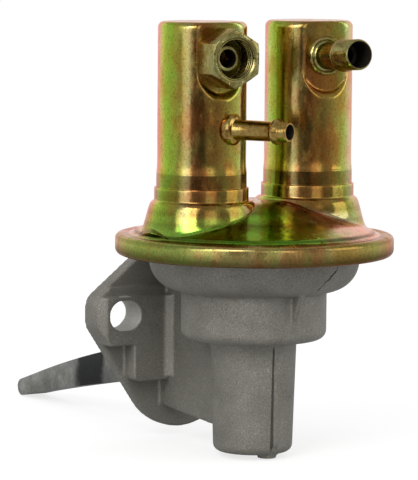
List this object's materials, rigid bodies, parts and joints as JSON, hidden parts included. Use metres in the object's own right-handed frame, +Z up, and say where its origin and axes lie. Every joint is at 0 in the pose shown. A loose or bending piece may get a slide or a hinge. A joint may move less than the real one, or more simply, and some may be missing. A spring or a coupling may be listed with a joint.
{
  "type": "mechanical fuel pump",
  "caption": "Engine-driven diaphragm fuel pump: cast lower body with bolt flange and long rocker arm, plated domed cover with two tall cans, hex outlet, hose inlet and return nipple.",
  "frame": {"origin": "centre of the mounting face, midway between the two bolt slots", "axes": "+Y out of the mounting face towards the engine, +Z up along the pump axis, +X along the line of the two cans"},
  "size_m": [0.09, 0.196, 0.1407],
  "materials": {
    "cast_aluminium": "matte die-cast, slightly grainy",
    "yellow_zinc_cover": "yellow chromate over zinc plate, glossy with green and pink shades",
    "yellow_zinc_can": "yellow chromate over zinc plate, glossy, drawn steel",
    "yellow_zinc_turned": "turned steel with yellow chromate, duller gold",
    "bare_steel": "plain steel, forged or turned",
    "spring_steel": "oiled spring wire",
    "black_rubber": "moulded rubber",
    "diaphragm_fabric": "rubber-coated fabric",
    "gasket_fibre": "fibre sheet",
    "valve_plastic": "moulded acetal",
    "strainer_mesh": "moulded nylon mesh"
  },
  "bodies": {
    "pump_body": {"lower_housing": "cast_aluminium", "top_cover": "yellow_zinc_cover", "outlet_can": "yellow_zinc_can", "inlet_can": "yellow_zinc_can", "outlet_fitting": "yellow_zinc_turned", "flare_seat": "yellow_zinc_turned", "inlet_barb": "yellow_zinc_turned", "return_nipple": "yellow_zinc_turned", "valve_body": "cast_aluminium", "cover_gasket": "gasket_fibre", "diaphragm": "diaphragm_fabric", "diaphragm_spring": "spring_steel", "rod_seal": "black_rubber", "seal_retainer": "bare_steel", "outlet_valve_cage": "valve_plastic", "outlet_valve_spring": "spring_steel", "inlet_valve_cage": "valve_plastic", "inlet_valve_spring": "spring_steel", "inlet_strainer": "strainer_mesh", "arm_return_spring": "spring_steel", "pivot_pin": "bare_steel", "pivot_washers": "bare_steel", "pin_plug": "bare_steel"},
    "rocker": {"rocker_arm": "bare_steel", "arm_spring_cap": "bare_steel"},
    "rod": {"pull_rod": "bare_steel", "upper_plate": "bare_steel", "lower_plate": "bare_steel"},
    "outlet_disc": {"outlet_valve_disc": "black_rubber"},
    "inlet_disc": {"inlet_valve_disc": "black_rubber"}
  },
  "joints": [
    {"name": "arm_pivot", "type": "hinge", "parent": "pump_body", "child": "rocker", "pos_m": [0, -0.0052, -0.0165], "axis": [1, 0, 0], "range_deg": [0, 8], "stiffness_Nm_per_rad": 5, "springref_deg": -11.46, "deforming": ["arm_return_spring"]},
    {"name": "rod_slide", "type": "slide", "parent": "pump_body", "child": "rod", "axis": [0, 0, 1], "range_m": [-0.0065, 0], "stiffness_N_per_m": 800, "springref_m": 0.01, "deforming": ["diaphragm_spring", "diaphragm"]},
    {"name": "outlet_valve", "type": "slide", "parent": "pump_body", "child": "outlet_disc", "axis": [0, 0, 1], "range_m": [0, 0.0012], "stiffness_N_per_m": 10, "springref_m": -0.005, "deforming": ["outlet_valve_spring"]},
    {"name": "inlet_valve", "type": "slide", "parent": "pump_body", "child": "inlet_disc", "axis": [0, 0, -1], "range_m": [0, 0.0012], "stiffness_N_per_m": 10, "springref_m": -0.005, "deforming": ["inlet_valve_spring"]}
  ],
  "couplings": [
    {"joint": "rod_slide", "follows": "arm_pivot", "m_per_rad": -0.0438}
  ]
}
